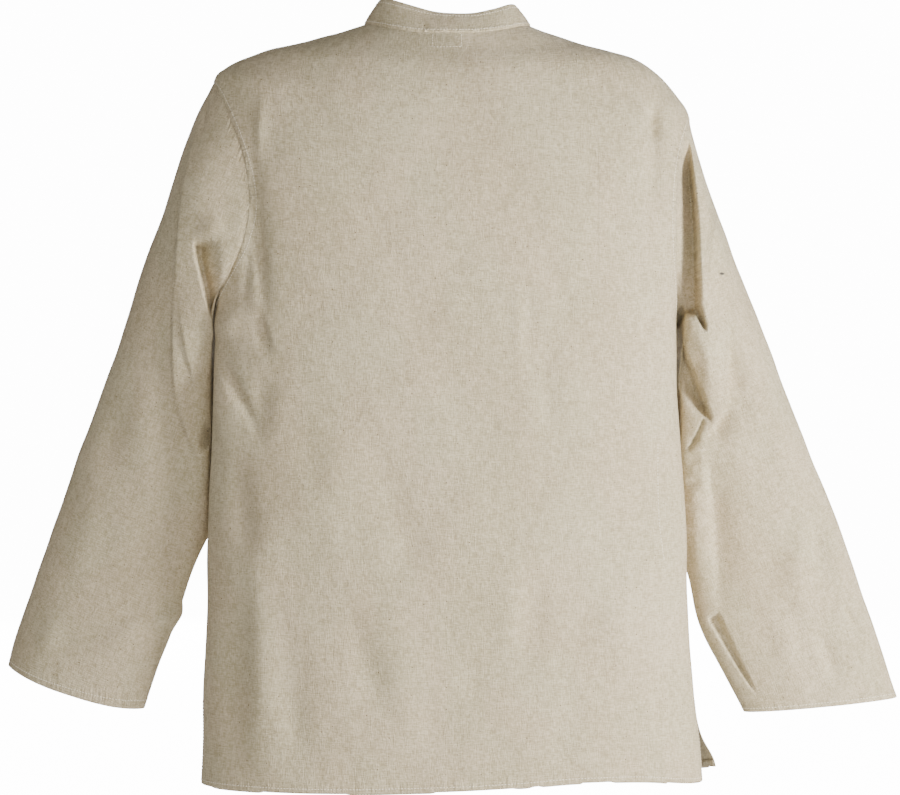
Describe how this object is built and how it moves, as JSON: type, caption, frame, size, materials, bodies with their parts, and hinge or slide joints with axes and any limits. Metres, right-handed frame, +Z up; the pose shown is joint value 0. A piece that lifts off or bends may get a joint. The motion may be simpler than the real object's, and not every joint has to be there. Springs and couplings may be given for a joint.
{
  "type": "tunic shirt",
  "caption": "Long-sleeved cotton tunic shirt with a stand collar, front slit and side slits, hollow as worn with no wearer, sleeves hanging",
  "frame": {"origin": "level with the shoulders, in the middle of the neck opening, where a wearer or a hanger holds the shirt", "axes": "+Z up, the wearer's front towards -Y, the wearer's left arm on the +X side"},
  "size_m": [0.906, 0.2038, 0.779],
  "materials": {
    "natural_cotton": "plain woven natural cotton with slubs, matt",
    "doubled_cotton": "the same cotton, doubled, matt"
  },
  "bodies": {
    "root": {"back": "natural_cotton", "front": "natural_cotton", "sleeve_left": "natural_cotton", "sleeve_right": "natural_cotton", "collar": "doubled_cotton", "placket_over": "doubled_cotton", "placket_under": "doubled_cotton"}
  },
  "joints": []
}
